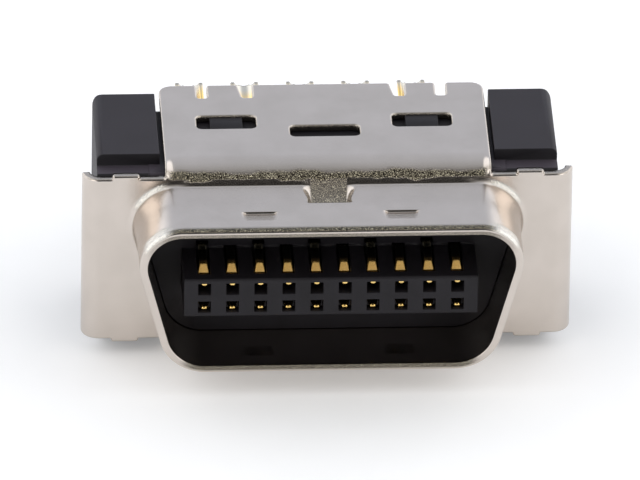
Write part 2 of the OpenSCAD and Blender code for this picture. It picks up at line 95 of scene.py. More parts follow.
# Its outside is a quarter round that runs out in a low slope
RIM_LOW, RIM_R, RIM_TURN, RIM_RUN = 0.2, 0.14, math.radians(80), 0.53

# The pocket in the top wall: its floor falls behind a lip and climbs a ramp to the flange
POCKET_FRONT, POCKET_DEPTH, POCKET_WALL, LIP_SOFT = -1.4, 0.45, 0.22, 0.07
RAMP_START, RAMP_END, RAMP_RISE, RAMP_POWER = -0.9, -0.14, 0.55, 1.6
KNEE_Y, KNEE_RISE, KNEE_POWER = -0.05, 0.7, 1.4
# Half widths: all that it bends, its roof inside as (none, full), its floor, its lip and the lip's flare
POCKET_REACH, POCKET_INSIDE, POCKET_FLOOR = 1.3, (1.06, 0.94), 0.77
POCKET_LIP, POCKET_FLARE, FLARE_Y = 1.0, 0.26, (-1.05, -0.1)
# Corner of the hole that the pocket leaves in the flange's rear face
HOLE_CORNER = 0.12
# In front of these depths the wall's rows, inside and outside, run straight past the pocket
PAST_INSIDE, PAST_OUTSIDE = -1.75, -1.55

# The dimples: steep at the rear, with a slope that runs out towards the rim
DIMPLE_X, DIMPLE_Y, DIMPLE_HALF, DIMPLE_DEPTH = 3.2, -2.56, 0.6, 0.1
DIMPLE_BACK, DIMPLE_STEEP, DIMPLE_RUN, DIMPLE_SLOPE = 0.38, 0.045, 0.8, 0.72
DIMPLE_SPREAD, DIMPLE_END = 0.22, 0.18

# Rows of the wall lie close where the pocket's lip and the dimples bend it: (end, step) along y
INSIDE_LEGS = ((-1.3, 0.11), (PAST_INSIDE, 0.03), (-2, 0.12), (-3.05, 0.055), (RIM_Y + 0.2, 0.15))
OUTSIDE_LEGS = ((-2.26, 0.06), (-2.14, 0.015), (PAST_OUTSIDE, 0.12), (-1.2, 0.025), (-TOE_END, 0.08))
REAR_ROWS, RUN_ROWS, ROOT_ROWS = 8, 4, 12
# So do the stations round the mouth, near the pocket's sides and the dimples: (end, step) along x
TOP_LEGS = ((0.7, 0.1), (1.3, 0.04), (2.1, 0.2), (4.3, 0.1), (TOP_END, 0.3))
LOW_LEGS = ((4.3, 0.3), (2.1, 0.1), (0, 0.3))
CORNER_STEP, SIDE_STEP = math.radians(4.5), 0.35
# The way out of the mouth's straight top and bottom is steeper than this
STRAIGHT = 0.999

# The sheet's cut edge: rounded at the front, with a fine burr behind
EDGE_ROUND, EDGE_TURN, EDGE_BURR = 0.08, 0.3, 0.03
# Extra lines of points beside the sheet's edges and the root, and past the end of the wide curve
EDGE_BESIDE, ROOT_BESIDE, SWEEP_PAST = 0.035, 0.05, 0.05
SWEEP_SHORT, SWEEP_END_STEP, SWEEP_STEP, FOLD_STEP = 0.1, 0.065, 0.2, 0.1
ARC_STEP, BEND_STEP, RIM_STEP = math.radians(15), math.radians(9), math.radians(5)
# Room beside the plates' edges, within which a point still counts as theirs
BEND_ROOM, FOLD_ROOM = 0.01, 0.2
# Places closer than these are the same: points of outlines, ends of lines; values below these are none
SAME_POINT, SAME_LINE, BARELY, ROUND_OFF = 1e-5, 1e-4, 1e-6, 1e-9
# A sharp corner of an outline moves out no farther than one with this cosine
MITRE = 0.4

# The contacts: a strip with a wider nose, bent down to its tip and rolled into a solder cup behind
STRIP_W, STRIP_T, STRIP_EDGE, BEND_R, BEND_ROWS = 0.4, 0.2, 0.035, 0.15, 5
NOSE_W, NOSE_EDGE, NOSE_PAST = 0.6, 0.06, 0.2
TIP_Y, TIP_LEN, TIP_W, TIP_Z, SLOPE_LEN, TIP_ROW = -3.33, 0.9, 0.28, 0.63, 0.36, 0.1
RUN_Z, TAIL_Z, JOG_START, JOG_END = 0.96, 1.24, -0.92, -0.83
CUP_R, CUP_WALL, CUP_LEN, CUP_SLANT, CUP_LOW = 0.54, 0.56, 2.6, 0.45, 0.18
SHORT_CUP, LONG_CUP = 6.7, 10.4
ROLL_LEN, ROLL_STEP, SLANT_STEP, CUP_STEP = 0.45, 0.09, 0.075, 0.4
HALF_COLUMNS = 6
# Their run gets painted shade between these depths, each (none, full), and the cups turn to tin behind their
# starts
SHADE_FRONT, SHADE_REAR, TIN = (-2.05, -1.85), (3.0, 2.5), (1.1, 2.2)
SHADE_FRONT_ROWS, SHADE_REAR_ROWS = (-1.95, -1.83), (2.4, 3.1)

# Where the drawn wall's peel is painted dark with bright glints, each as (none, full): depth, upward part of
# the way out, distance out. Deep in the mouth it is painted shade on the inside of the top wall
DEEP_SHADE_Y, DEEP_SHADE_UP = (-2.7, -2.3), (0, 0.5)
ROUND_START, ROUND_END = (RIM_LOW + 0.07, RIM_LOW + 0.1), (SHEET - 0.0008, SHEET - 0.0068)
RIM_UP, CROWN_UP, RIM_SIDE = (0.3, 0.6), (0.75, 0.98), 0.4
LIP_D, LIP_BACK, LIP_PAINTED_LIGHT = 0.16, 0.03, 0.7
LOW_LIP, LOW_PAINTED_LIGHT = (0.24, 0.16), 0.9
FLOOR_SHARE, FLOOR_START, FLOOR_PAINTED_LIGHT = (0.9, 1.0), 0.2, 0.8
OUTLINE_PAINTED_LIGHT, HOLE_PAINTED_LIGHT = 0.3, 0.5
# Its upper corners get a painted highlight, a paler tone, at the rim and at the root
CORNER_SIDE, CORNER_TOP = (0.35, 0.6), (1, 0.88)
HIGHLIGHT_OUT, HIGHLIGHT_BACK = (RIM_LOW, RIM_LOW + 0.05), (RIM_Y + 0.75, RIM_Y + 0.45)
HIGHLIGHT_ROOT, HIGHLIGHT_TONE = 0.3, 0.85
# The wide curve's peel is painted dark with glints from one line to another: steepness in degrees, how far it
# strays, softness
FOLD_LINE, FOLD_STRAY, FOLD_SOFT = 40, 5, 6
ROOT_LINE, ROOT_STRAY, ROOT_SOFT, ROOT_SHIFT = 57, 7, 4, 2
STRAY_WAVES = ((0.5, 1.3, 0.4), (0.3, 3.1, 1.3), (0.2, 7.3, 2.2))

# The moulding: rounding of its edges, the angle from which an edge is sharp; points that are one, in metres
MOULD_EDGE, SHARP, WELD, WELD_FINE = 0.035, math.radians(28), 2e-7, 1e-8
# Its ledges before the end blocks get a painted sheen, and the blocks a little; room beside which points count
# as theirs
BLOCK_SHEEN, LEDGE_SHEEN, BLOCK_ROOM, LEDGE_ROOM, LEDGE_LOW = 0.25, 1.0, 0.1, 0.02, 0.005
# Weight of the larger faces in smooth shading, from 1 to 100; at 50 all faces weigh the same
FACE_WEIGHT = 80

# Clouds of the finishes: grain size in millimetres, detail, roughness; depth by which they tilt a surface
DRIFT_CLOUD, FINE_CLOUD, COARSE_CLOUD = (1.7, 3, 0.55), (0.028, 2, 0.6), (0.045, 2, 0.6)
FINE_TILT, COARSE_TILT = 0.01, 0.035
# The span that most of a cloudy noise keeps to, and the part of it over which the peel's painted colour climbs
# from dark shade to bright glints
CLOUD_SPAN, PEEL_SPAN = (0.3, 0.7), (0.48, 0.76)
# How roughness follows the grain, from its dips to its tops
LEAST_ROUGH, MOST_ROUGH = 0.85, 1.15

# The camera in degrees and millimetres, its lens in pixels of the picture
VIEW_ELEVATION, VIEW_AZIMUTH, VIEW_ROLL = 31.07, 3.461, 0.992
VIEW_RIGHT, VIEW_UP, VIEW_DISTANCE = 0.32, -0.7512, 900
FOCAL_PIXELS, PICTURE_W, SENSOR_W, CLIP = 19882.3, 640, 36, (0.01, 10)
# The floor in metres and its own shine, then the lamps in metres and watts
FLOOR_HALF, FLOOR_FRONT, FLOOR_GAP, FLOOR_SHINE = 1.0, -0.075, 0.0002, 0.19
LAMP_X, LAMP_Y, LAMP_Z, LAMP_SIZE, LAMP_POWER = 0.28, -0.34, 0.1, 0.22, 0.27
# The room's shades from the horizon behind, over the top, to the horizon in front, in degrees
SKY = ((0, (0.74, 0.79, 0.88)), (31, (0.71, 0.76, 0.86)), (80, (0.62, 0.66, 0.73)), (105, (0.48, 0.5, 0.53)),
       (125, (0.25, 0.25, 0.25)), (142, (0.03, 0.029, 0.028)), (165, (0.006, 0.006, 0.006)),
       (180, (0.006, 0.006, 0.006)))
GLOW, GLOW_SPAN, GLOW_TINT = 0.9, (0.18, 0.5), (1, 0.98, 0.95)

# One row of the drawn wall: its side, its distance out of the inside outline and its depth, both again
# within the pocket, and its share of the root's turn
Row = namedtuple("Row", "side d y pocket_d pocket_y turn", defaults=(0.0,))


def ease(t):
    """From 0 to 1 with a soft start and a soft stop"""
    t = min(1.0, max(0.0, t))
    return t * t * (3 - 2 * t)


def fade(value, none, full):
    """0 where a value has not yet reached none, 1 where it has reached full, and soft between"""
    return ease((value - none) / (full - none))


def steps(start, stop, size):
    """Even stops from start to stop, both kept, no farther apart than size"""
    count = max(1, math.ceil(abs(stop - start) / size - ROUND_OFF))
    return [start + (stop - start) * k / count for k in range(count + 1)]


def spaced(start, *legs):
    """Stops from start through the end of each leg (end, step)"""
    stops = [start]
    for end, size in legs:
        stops += steps(start, end, size)[1:]
        start = end
    return stops


def along(path, t):
    """The point at fraction t of a path's length"""
    lengths = [math.dist(p, q) for p, q in zip(path, path[1:])]
    left = t * sum(lengths)
    for p, q, length in zip(path, path[1:], lengths):
        if left <= length or q is path[-1]:
            f = min(1.0, left / length)
            return tuple(a + (b - a) * f for a, b in zip(p, q))
        left -= length


def rounded(corners):
    """An outline from corners (x, y, radius), each turned into an arc"""
    outline = []
    for i, (x, y, radius) in enumerate(corners):
        here = Vector((x, y))
        before = (Vector(corners[i - 1][:2]) - here).normalized()
        after = (Vector(corners[(i + 1) % len(corners)][:2]) - here).normalized()
        half = before.angle(after) / 2
        centre = here + (before + after).normalized() * (radius / math.sin(half))
        start = here + before * (radius / math.tan(half)) - centre
        end = here + after * (radius / math.tan(half)) - centre
        first = math.atan2(start.y, start.x)
        sweep = (math.atan2(end.y, end.x) - first + math.pi) % (2 * math.pi) - math.pi
        for a in steps(first, first + sweep, ARC_STEP):
            outline.append((centre.x + radius * math.cos(a), centre.y + radius * math.sin(a)))
    return outline


def with_stops(outline, axis, stops, limit=math.inf):
    """The outline with a point added wherever an edge that starts within the limit passes a stop"""
    out = []
    for p, q in zip(outline, outline[1:] + outline[:1]):
        out.append(p)
        if abs(p[1 - axis]) > limit:
            continue
        low, high = p[axis], q[axis]
        passed = [s for s in stops if min(low, high) + SAME_POINT < s < max(low, high) - SAME_POINT]
        for s in sorted(passed, reverse=low > high):
            f = (s - low) / (high - low)
            point = [p[0] + (q[0] - p[0]) * f, p[1] + (q[1] - p[1]) * f]
            point[axis] = s
            out.append(tuple(point))
    return out


def inset(outline, amount):
    """The outline moved to its left by an amount"""
    moved = []
    for i, p in enumerate(outline):
        a, b = Vector(outline[i - 1]), Vector(outline[(i + 1) % len(outline)])
        into = (Vector(p) - a).normalized()
        out_of = (b - Vector(p)).normalized()
        turn = (into + out_of).normalized()
        left = Vector((-turn.y, turn.x))
        reach = amount / max(MITRE, left.dot(Vector((-into.y, into.x))))
        moved.append((p[0] + left.x * reach, p[1] + left.y * reach))
    return moved


def inside(points, outline):
    """Which of the points lie within an outline"""
    x, y = points[:, 0:1], points[:, 1:2]
    a = np.array(outline)
    b = np.roll(a, -1, axis=0)
    crosses = (a[:, 1] > y) != (b[:, 1] > y)
    rise = np.where(b[:, 1] == a[:, 1], 1.0, b[:, 1] - a[:, 1])
    edge_x = a[:, 0] + (y - a[:, 1]) * (b[:, 0] - a[:, 0]) / rise
    return (crosses & (x < edge_x)).sum(axis=1) % 2 == 1


class Build:
    """Points, each with its share of peel and painted light and how pale it is, and faces, gathered into one
    mesh
    """

    def __init__(self):
        self.points, self.worked, self.pale, self.faces = [], [], [], []

    def point(self, place, worked=0.0, pale=0.0):
        """A new point in millimetres; gives its number"""
        self.points.append(Vector(place) * MM)
        self.worked.append(worked)
        self.pale.append(pale)
        return len(self.points) - 1

    def strip(self, first, second, closed=True):
        """Faces between two rows of points"""
        count = len(first)
        for k in range(count if closed else count - 1):
            n = (k + 1) % count
            self.faces.append((first[k], first[n], second[n], second[k]))

    def mesh(self, name):
        """The smooth mesh, its faces all turned outward"""
        made = bpy.data.meshes.new(name)
        made.from_pydata(self.points, [], self.faces)
        mark(made, "worked", self.worked)
        mark(made, "pale", self.pale)
        shape = bmesh.new()
        shape.from_mesh(made)
        bmesh.ops.remove_doubles(shape, verts=shape.verts, dist=WELD_FINE)
        bmesh.ops.recalc_face_normals(shape, faces=shape.faces)
        for face in shape.faces:
            face.smooth = True
        shape.to_mesh(made)
        shape.free()
        return made


def mark(mesh, name, values):
    """A named value for each point of a mesh, which its material reads"""
    mesh.attributes.new(name, "FLOAT", "POINT").data.foreach_set("value", values)


def add_piece(name, mesh, material, slot, *nodes):
    """A piece that stands for CAD nodes on the part's one body"""
    piece = bpy.data.objects.new(name, mesh)
    bpy.context.scene.collection.objects.link(piece)
    mesh.materials.clear()
    mesh.materials.append(material)
    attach(piece, "root")
    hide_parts(*nodes)
    return piece


def mouth_stations():
    """Round the mouth from the middle of the top by the right: inside outline and the way out of it"""
    top_z, low_z = MOUTH_H / 2 - TOP_R, LOW_R - MOUTH_H / 2
    shift = TOP_R - LOW_R
    side = (MOUTH_H - TOP_R - LOW_R - shift * math.sin(LEAN)) / math.cos(LEAN)
    low_x = TOP_END + shift * math.cos(LEAN) - side * math.sin(LEAN)
    half = [(x, MOUTH_H / 2, 0.0, 1.0) for x in spaced(0, *TOP_LEGS)]
    for a in steps(QUARTER, -LEAN, CORNER_STEP)[1:]:
        half.append((TOP_END + TOP_R * math.cos(a), top_z + TOP_R * math.sin(a), math.cos(a), math.sin(a)))
    x, z, out_x, out_z = half[-1]
    for s in steps(0, side, SIDE_STEP)[1:]:
        half.append((x - s * math.sin(LEAN), z - s * math.cos(LEAN), out_x, out_z))
    for a in steps(-LEAN, -QUARTER, CORNER_STEP)[1:]:
        half.append((low_x + LOW_R * math.cos(a), low_z + LOW_R * math.sin(a), math.cos(a), math.sin(a)))
    half += [(x, -MOUTH_H / 2, 0.0, -1.0) for x in spaced(low_x, *LOW_LEGS)[1:]]
    return half + [(-x, z, -out_x, out_z) for x, z, out_x, out_z in reversed(half[1:-1])]


def stretched(y, still, end, new_end):
    """y as it is in front of still, and drawn out behind it so that end comes to new_end"""
    return y if y < still else still + (y - still) * (new_end - still) / (end - still)


def wall_rows():
    """The wall's section from the flange's rear face, round the rim, to its front face"""
    outer_root = SHEET + ROOT_R
    pocket_out = SHEET - POCKET_DEPTH
    pocket_in = pocket_out - POCKET_WALL
    pocket_back = SHEET - HOLE_CORNER
    rear_path = [(outer_root, SHEET), (pocket_in + HOLE_CORNER, SHEET),
                 (pocket_in + HOLE_CORNER / 3, SHEET - HOLE_CORNER / 3), (pocket_in, pocket_back)]
    front_path = [(pocket_out + RAMP_RISE, RAMP_END), (pocket_out + KNEE_RISE, KNEE_Y), (outer_root, 0)]
    rows = []
    for share in steps(0, 1, 1 / REAR_ROWS):
        a = QUARTER * (1 + share)
        rows.append(Row("in", outer_root * (1 + math.cos(a)), outer_root * math.sin(a) - ROOT_R,
                        *along(rear_path, share)))
    lip = POCKET_FRONT - POCKET_WALL
    for y in spaced(-ROOT_R, *INSIDE_LEGS)[1:]:
        pocket_y = stretched(y, PAST_INSIDE, -ROOT_R, pocket_back)
        rows.append(Row("in", 0, y, pocket_in * fade(pocket_y, lip - LIP_SOFT, lip + LIP_SOFT), pocket_y))
    rim = list(RIM_LIP)
    for a in steps(0, RIM_TURN, RIM_STEP):
        rim.append((RIM_LOW + RIM_R * math.sin(a), RIM_R * (1 - math.cos(a))))
    edge_d, edge_back = rim[-1]
    for left in steps(1, 0, 1 / RUN_ROWS)[1:]:
        rim.append((SHEET - (SHEET - edge_d) * left ** 2, RIM_RUN - (RIM_RUN - edge_back) * left))
    rows += [Row("rim", d, RIM_Y + back, d, RIM_Y + back) for d, back in rim]
    for y in spaced(RIM_Y + RIM_RUN, *OUTSIDE_LEGS)[1:]:
        pocket_y = stretched(y, PAST_OUTSIDE, -TOE_END, RAMP_END)
        rise = TOE_RISE * max(0, (TOE + y) / (TOE - TOE_END)) ** TOE_POWER
        ramp = RAMP_RISE * max(0, (pocket_y - RAMP_START) / (RAMP_END - RAMP_START)) ** RAMP_POWER
        sunk = POCKET_DEPTH * fade(pocket_y, POCKET_FRONT - LIP_SOFT, POCKET_FRONT + LIP_SOFT)
        rows.append(Row("out", SHEET + rise, y, SHEET - sunk + ramp, pocket_y))
    bend = (ROOT_R - TOE_RISE) / math.cos(TOE_ANGLE)
    for share in steps(0, 1, 1 / ROOT_ROWS)[1:]:
        a = TOE_ANGLE + (QUARTER - TOE_ANGLE) * share
        rows.append(Row("root", outer_root - bend * math.cos(a), bend * (math.sin(a) - 1),
                        *along(front_path, share ** KNEE_POWER), share))
    return rows


def wall_finish(row, out_z):
    """How much of a row of the drawn wall has its peel painted dark with glints, and how pale its painted
    highlight at the upper corners is
    """
    worked = highlight = 0.0
    corner = fade(out_z, *CORNER_SIDE) * fade(out_z, *CORNER_TOP)
    # Painted shade on the inside of the top wall, deep in the mouth
    if row.side == "in":
        worked = fade(row.y, *DEEP_SHADE_Y) * fade(out_z, *DEEP_SHADE_UP)
    # The rim's rounding and lip: peel painted dark with bright glints
    if row.side == "rim":
        worked = fade(row.d, *ROUND_START) * fade(row.d, *ROUND_END)
        if row.d < LIP_D and row.y < RIM_Y + LIP_BACK:
            worked = LIP_PAINTED_LIGHT
        worked *= fade(out_z, *RIM_UP) * (RIM_SIDE + (1 - RIM_SIDE) * fade(out_z, *CROWN_UP))
        worked += LOW_PAINTED_LIGHT * fade(row.d, *LOW_LIP) * fade(-out_z, *CROWN_UP)
    # Painted highlight on the upper corners, at the rim and the root
    if row.side in ("rim", "out"):
        highlight = corner * fade(row.d, *HIGHLIGHT_OUT) * fade(row.y, *HIGHLIGHT_BACK)
    if row.side == "root":
        highlight = corner * fade(row.turn, 0, HIGHLIGHT_ROOT) * fade(row.turn, 1, 1 - HIGHLIGHT_ROOT)
    return max(worked, highlight), HIGHLIGHT_TONE * highlight


def pocket_share(row, x):
    """How far a row is pressed into the pocket at a distance x from the middle"""
    if row.side == "in":
        return fade(x, *POCKET_INSIDE)
    return fade(x, POCKET_LIP + POCKET_FLARE * fade(row.pocket_y, *FLARE_Y), POCKET_FLOOR)


def dimple_share(x, y):
    """How far the wall is pressed into a dimple"""
    ahead = DIMPLE_Y + DIMPLE_BACK - y
    reach = DIMPLE_HALF + DIMPLE_SPREAD
    ends = fade(abs(abs(x) - DIMPLE_X), reach, reach - DIMPLE_END)
    return ends * fade(ahead, 0, DIMPLE_STEEP) * min(1, max(0, (DIMPLE_RUN - ahead) / DIMPLE_SLOPE))


def wall_point(station, row):
    """A point of the drawn wall with its pocket and dimples, its share of peel and painted light, and how pale
    it is
    """
    x, z, out_x, out_z = station
    d, y = row.d, row.y
    worked, pale = wall_finish(row, out_z)
    if row.side == "root" and abs(out_z) > STRAIGHT:
        a = SWEEP_LOW + (SWEEP_ROOT - SWEEP_LOW) * row.turn
        share = fade(abs(x), TOP_END, TOP_END - ROOT_FADE)
        low_y, low_z = on_sweep(a)
        d, y = d + (low_z - MOUTH_H / 2 - d) * share, y + (low_y - y) * share
        # Along the drawn root the peel is painted dark with glints
        line = ROOT_LINE + ROOT_STRAY * wander(x + ROOT_SHIFT)
        worked = share * fade(math.degrees(a), line + ROOT_SOFT, line)
    if out_z > STRAIGHT and abs(x) < POCKET_REACH:
        share = pocket_share(row, abs(x))
        if row.side in ("out", "root"):
            # The pocket's floor: peel painted dark with glints
            deep = fade(share, *FLOOR_SHARE) * fade(row.pocket_y, POCKET_FRONT, POCKET_FRONT + FLOOR_START)
            worked = max(worked, FLOOR_PAINTED_LIGHT * deep)
        d, y = d + (row.pocket_d - d) * share, y + (row.pocket_y - y) * share
    if abs(out_z) > STRAIGHT and row.side in ("in", "out"):
        d -= DIMPLE_DEPTH * dimple_share(x, y)
    return (x + out_x * d, y, z + out_z * d), worked, pale


def wander(x):
    """How far the edge of the painted peel strays along the part, from -1 to 1"""
    return sum(size * math.sin(pace * x + start) for size, pace, start in STRAY_WAVES)


def swept(x):
    """How far the wide curve over the mouth holds at x"""
    return fade(abs(x), SWEEP_HALF, SWEEP_HALF - SWEEP_FADE)


def sweep_angle(v):
    """How steep the wide curve is at a height of the flat blank"""
    return SWEEP_ROOT * max(0, (SWEEP_STOP - abs(v)) / (SWEEP_STOP - ROOT_Z))


def on_sweep(a):
    """Depth and height of the wide curve where its steepness is a"""
    return SWEEP_Y - SWEEP_R * math.sin(a), PLATE_TOP - SWEEP_R * (1 - math.cos(a))


def sweep(u, v):
    """A point of the blank's front face, on the wide curve where that holds"""
    x, y, z = bent(u, v, 0)
    if not ROOT_Z - BARELY < abs(v) < SWEEP_STOP:
        return x, y, z
    share = swept(u)
    low_y, low_z = on_sweep(sweep_angle(v))
    return x, y + (low_y - y) * share, z + (math.copysign(low_z, v) - z) * share


def fold_worked(u, v):
    """How much of the front face's peel is painted dark with glints, at the fold and at the drawn root"""
    if abs(v) <= ROOT_Z - BARELY:
        return 0.0
    line = FOLD_LINE + FOLD_STRAY * wander(u)
    return fade(math.degrees(sweep_angle(v)), line, line + FOLD_SOFT) * swept(u)


def bent(u, v, w):
    """Where a point of the flat blank lands once plates and ears are bent, w under its face"""
    if abs(v) > FOLD_Z and abs(u) < PLATE_HALF + BEND_ROOM:
        run = abs(v) - FOLD_Z
        if run < FOLD_R * QUARTER:
            a, r = run / FOLD_R, FOLD_R - w
            return u, FOLD_R - r * math.cos(a), math.copysign(FOLD_Z + r * math.sin(a), v)
        return u, FOLD_R + run - FOLD_R * QUARTER, math.copysign(PLATE_TOP - w, v)
    if abs(u) > CURL_X:
        run = abs(u) - CURL_X
        a, r = min(run / CURL_R, QUARTER), CURL_R - w
        tail = max(0, run - CURL_R * QUARTER)
        return math.copysign(CURL_X + r * math.sin(a), u), CURL_R - r * math.cos(a) + tail, v
    return u, w, v


def blank_outline():
    """The flat blank before it is bent: flange with lands, two ears, two plates with notches"""
    ear_end = CURL_X + CURL_R * QUARTER + CURL_TAIL
    plate_end = PLATE_REAR + BLANK_SHIFT
    top, land, deep = EAR_H / 2, EAR_H / 2 + LAND_H, plate_end - NOTCH_DEPTH
    right = [
        (ear_end, top, CURL_CORNER),
        (LAND_X + LAND_W / 2, top, LAND_FOOT_R),
        (LAND_X + LAND_W / 2, land, LAND_R),
        (LAND_X - LAND_W / 2, land, LAND_R),
        (LAND_X - LAND_W / 2, top, LAND_FOOT_R),
        (PLATE_HALF, top, PLATE_FOOT_R),
        (PLATE_HALF, plate_end, PLATE_R),
    ]
    notches = []
    for x, width, slant in ((OUTER_NOTCH_X, OUTER_NOTCH_W, 0), (INNER_NOTCH_X, INNER_NOTCH_W, NOTCH_SLANT),
                            (-INNER_NOTCH_X, INNER_NOTCH_W, NOTCH_SLANT), (-OUTER_NOTCH_X, OUTER_NOTCH_W, 0)):
        right_x, left_x = x + width / 2, x - width / 2
        notches += [(right_x, plate_end, NOTCH_MOUTH_R), (right_x, deep, NOTCH_R),
                    (left_x + slant, deep, NOTCH_R), (left_x, plate_end, NOTCH_MOUTH_R)]
    upper = right + notches + [(-x, v, r) for x, v, r in reversed(right)]
    return rounded(upper + [(x, -v, r) for x, v, r in reversed(upper)])


def blank_holes():
    """The latch slots and the window of both plates, on the flat blank"""
    holes = []
    for x, y, length, width in ((-LATCH_X, LATCH_Y, LATCH_LEN, LATCH_W), (0, WINDOW_Y, WINDOW_LEN, WINDOW_W),
                                (LATCH_X, LATCH_Y, LATCH_LEN, LATCH_W)):
        for v in (y + BLANK_SHIFT, -y - BLANK_SHIFT):
            holes.append(rounded([(x + i * length / 2, v + j * width / 2, SLOT_R)
                                  for i, j in ((-1, -1), (1, -1), (1, 1), (-1, 1))]))
    return holes


def root_ring(stations, reach):
    """The mouth's outline on the flange, at a reach out of its inside"""
    return [(x + out_x * reach, z + out_z * reach) for x, z, out_x, out_z in stations]


def shell_mesh():
    """The whole shell as one bent and drawn sheet"""
    build = Build()
    stations = mouth_stations()
    grid = [[build.point(*wall_point(station, row)) for station in stations] for row in wall_rows()]
    for first, second in zip(grid, grid[1:]):
        build.strip(first, second)

    turns = steps(0, QUARTER, BEND_STEP)
    fold_stops = [FOLD_Z + FOLD_R * a for a in turns]
    fold_stops += steps(FOLD_Z + FOLD_R * QUARTER, SWEEP_STOP, FOLD_STEP)[1:]
    curl_stops = [CURL_X + CURL_R * a for a in turns]
    outline = with_stops(blank_outline(), 1, [s * v for v in fold_stops[1:] for s in (1, -1)],
                         PLATE_HALF + FOLD_ROOM)
    outline = with_stops(outline, 0, [s * u for u in curl_stops for s in (1, -1)])
    loops = [(outline, 1)] + [(hole, -1) for hole in blank_holes()]
    root_edge = root_ring(stations, SHEET + ROOT_R)
    full = SWEEP_HALF - SWEEP_FADE
    across = spaced(SWEEP_SHORT - SWEEP_HALF, (-full, SWEEP_END_STEP), (full, SWEEP_STEP),
                    (SWEEP_HALF - SWEEP_SHORT, SWEEP_END_STEP))

    def side(edge_ids, depth, amount, root_ids):
        """One face of the blank, triangulated between its edges and the drawn root"""
        coords, keys, edges = [], [], []

        def trace(points, ids=None, closed=True):
            """A line that the triangles keep, with the numbers of those of its points that are there already"""
            base, count = len(coords), len(points)
            coords.extend(Vector(p) for p in points)
            keys.extend(ids or [None] * count)
            edges.extend((base + k, base + (k + 1) % count) for k in range(count if closed else count - 1))

        for (loop, sign), ids in zip(loops, edge_ids):
            trace(inset(loop, sign * amount), ids)
            trace(inset(loop, sign * (amount + EDGE_BESIDE)))
        trace(root_edge, root_ids)
        trace(root_ring(stations, SHEET + ROOT_R + ROOT_BESIDE))
        rim = inset(outline, amount)
        for s in (1, -1):
            for v in fold_stops[1:]:
                ends = [q for p, q in zip(outline, rim)
                        if abs(p[1] - s * v) < SAME_LINE and abs(p[0]) < PLATE_HALF + FOLD_ROOM]
                trace([min(ends)] + [(u, s * v) for u in across] + [max(ends)], closed=False)
            for v in (FOLD_Z, fold_stops[-1] + SWEEP_PAST):
                trace([(u, s * v) for u in across], closed=False)
            for u in curl_stops:
                ends = sorted((q for p, q in zip(outline, rim) if abs(p[0] - s * u) < SAME_LINE),
                              key=lambda p: p[1])
                trace([ends[0], ends[-1]], closed=False)
        places, _, faces, origins = delaunay_2d_cdt(coords, edges, [], 1, SAME_POINT)[:4]
        places = [tuple(p) for p in places]
        ids = []
        for place, sources in zip(places, origins):
            known = [keys[s] for s in sources if s < len(keys) and keys[s] is not None]
            spot = bent(*place, depth) if depth else sweep(*place)
            ids.append(known[0] if known else build.point(spot, fold_worked(*place)))
        middles = np.array([np.mean([places[k] for k in f], axis=0) for f in faces])
        keep = inside(middles, rim) & ~inside(middles, root_edge)
        for loop, sign in loops[1:]:
            keep &= ~inside(middles, inset(loop, sign * amount))
        build.faces.extend(tuple(ids[k] for k in f) for f, kept in zip(faces, keep) if kept)

    edge_rings = []
    turned = EDGE_ROUND * EDGE_TURN
    for loop, sign in loops:
        rings = []
        # The cut edges' peel is painted dark with glints
        rough = OUTLINE_PAINTED_LIGHT if sign > 0 else HOLE_PAINTED_LIGHT
        for amount, depth in ((EDGE_ROUND, 0), (turned, turned), (0, EDGE_ROUND), (0, SHEET - EDGE_BURR),
                              (EDGE_BURR, SHEET)):
            worked = rough if depth else 0
            rings.append([build.point(bent(*p, depth), worked) for p in inset(loop, sign * amount)])
        for first, second in zip(rings, rings[1:]):
            build.strip(first, second)
        edge_rings.append(rings)
    side([rings[0] for rings in edge_rings], 0, EDGE_ROUND, grid[-1])
    side([rings[-1] for rings in edge_rings], SHEET, EDGE_BURR, grid[0])
    return build.mesh("shell_sheet")


def bend_points(a, b, c):
    """The round bend at b of a line from a to c, as (y, z, heading)"""
    into = math.atan2(b[1] - a[1], b[0] - a[0])
    turn = math.atan2(c[1] - b[1], c[0] - b[0]) - into
    trim = BEND_R * math.tan(abs(turn) / 2)
    start = (b[0] - trim * math.cos(into), b[1] - trim * math.sin(into))
    side = math.copysign(BEND_R, turn)
    centre = (start[0] - side * math.sin(into), start[1] + side * math.cos(into))
    headings = [into + turn * k / BEND_ROWS for k in range(BEND_ROWS + 1)]
    return [(centre[0] + side * math.sin(h), centre[1] - side * math.cos(h), h) for h in headings]


def contact_path(cup, long):
    """A contact's centre line from its tip to the end of its cup, as (y, z, heading)"""
    level = TAIL_Z if long else RUN_Z
    slope_y, end = TIP_Y + TIP_LEN, cup + CUP_LEN
    line = [(TIP_Y, TIP_Z), (slope_y, TIP_Z), (slope_y + SLOPE_LEN, RUN_Z)]
    if long:
        line += [(JOG_START, RUN_Z), (JOG_END, TAIL_Z)]
    line.append((end, level))
    path = [(y, TIP_Z, 0.0) for y in (TIP_Y, TIP_Y + STRIP_EDGE, TIP_Y + TIP_ROW)]
    for a, b, c in zip(line, line[1:], line[2:]):
        path += bend_points(a, b, c)
    path += [(y, level, 0.0) for y in spaced(cup - ROLL_LEN, (cup, ROLL_STEP), (cup + CUP_SLANT, SLANT_STEP),
                                             (end - CUP_SLANT, CUP_STEP), (end, SLANT_STEP))]
    # Rows of their own where the painted shade on the run starts and ends
    path += [(y, RUN_Z, 0.0) for y in SHADE_FRONT_ROWS] + [(y, level, 0.0) for y in SHADE_REAR_ROWS]
    return sorted(path)


